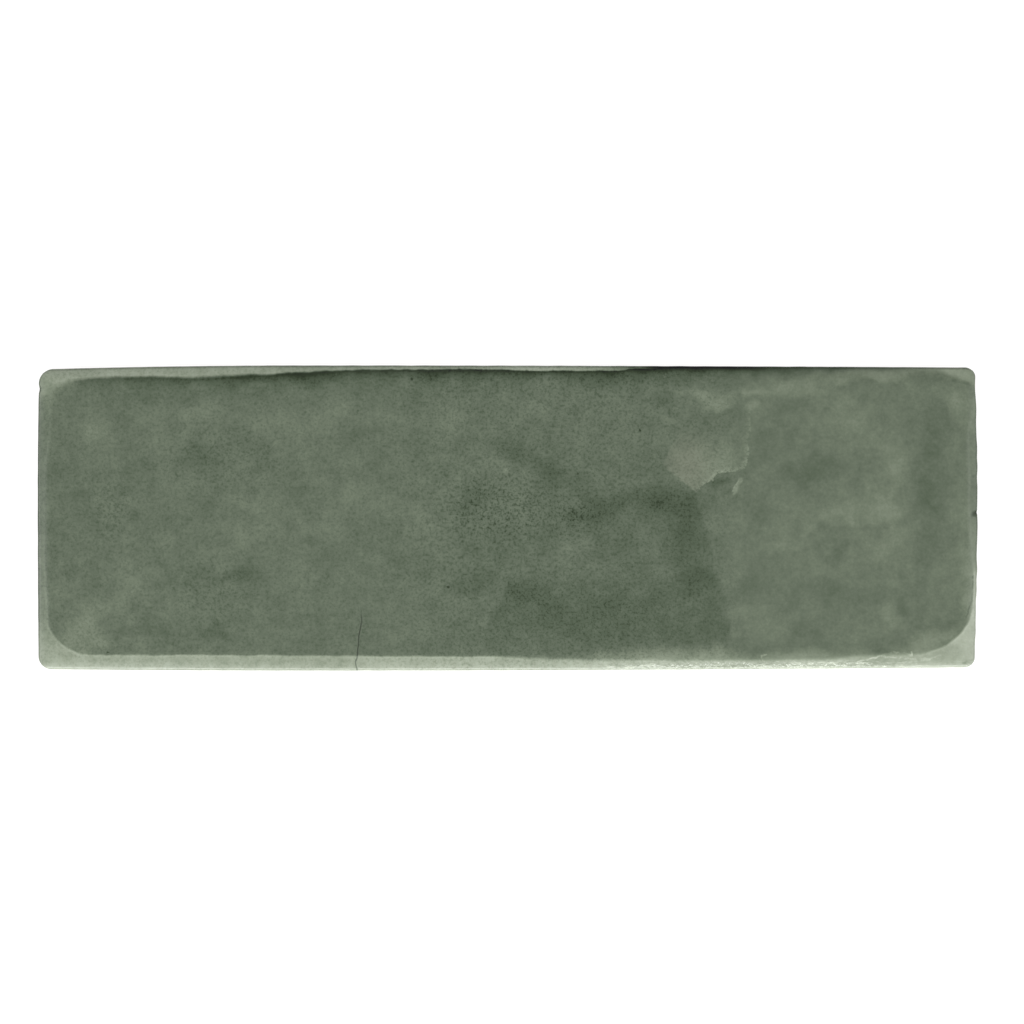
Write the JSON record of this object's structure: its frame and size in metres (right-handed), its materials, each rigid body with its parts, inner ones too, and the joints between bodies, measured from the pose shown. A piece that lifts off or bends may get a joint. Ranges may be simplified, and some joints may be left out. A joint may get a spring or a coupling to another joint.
{
  "type": "wall tile",
  "caption": "Glossy glazed ceramic wall tile in a long brick format, with a softly undulating face, a cushion rim and a waffle back that keys into adhesive.",
  "frame": {"origin": "on the bedding plane of the back, under the middle of the tile", "axes": "+X along the length, +Y across the width, +Z out of the glazed face"},
  "size_m": [0.2, 0.065, 0.0083],
  "materials": {
    "glaze": "gloss"
  },
  "bodies": {
    "root": {"glazed_tile": "glaze"}
  },
  "joints": []
}
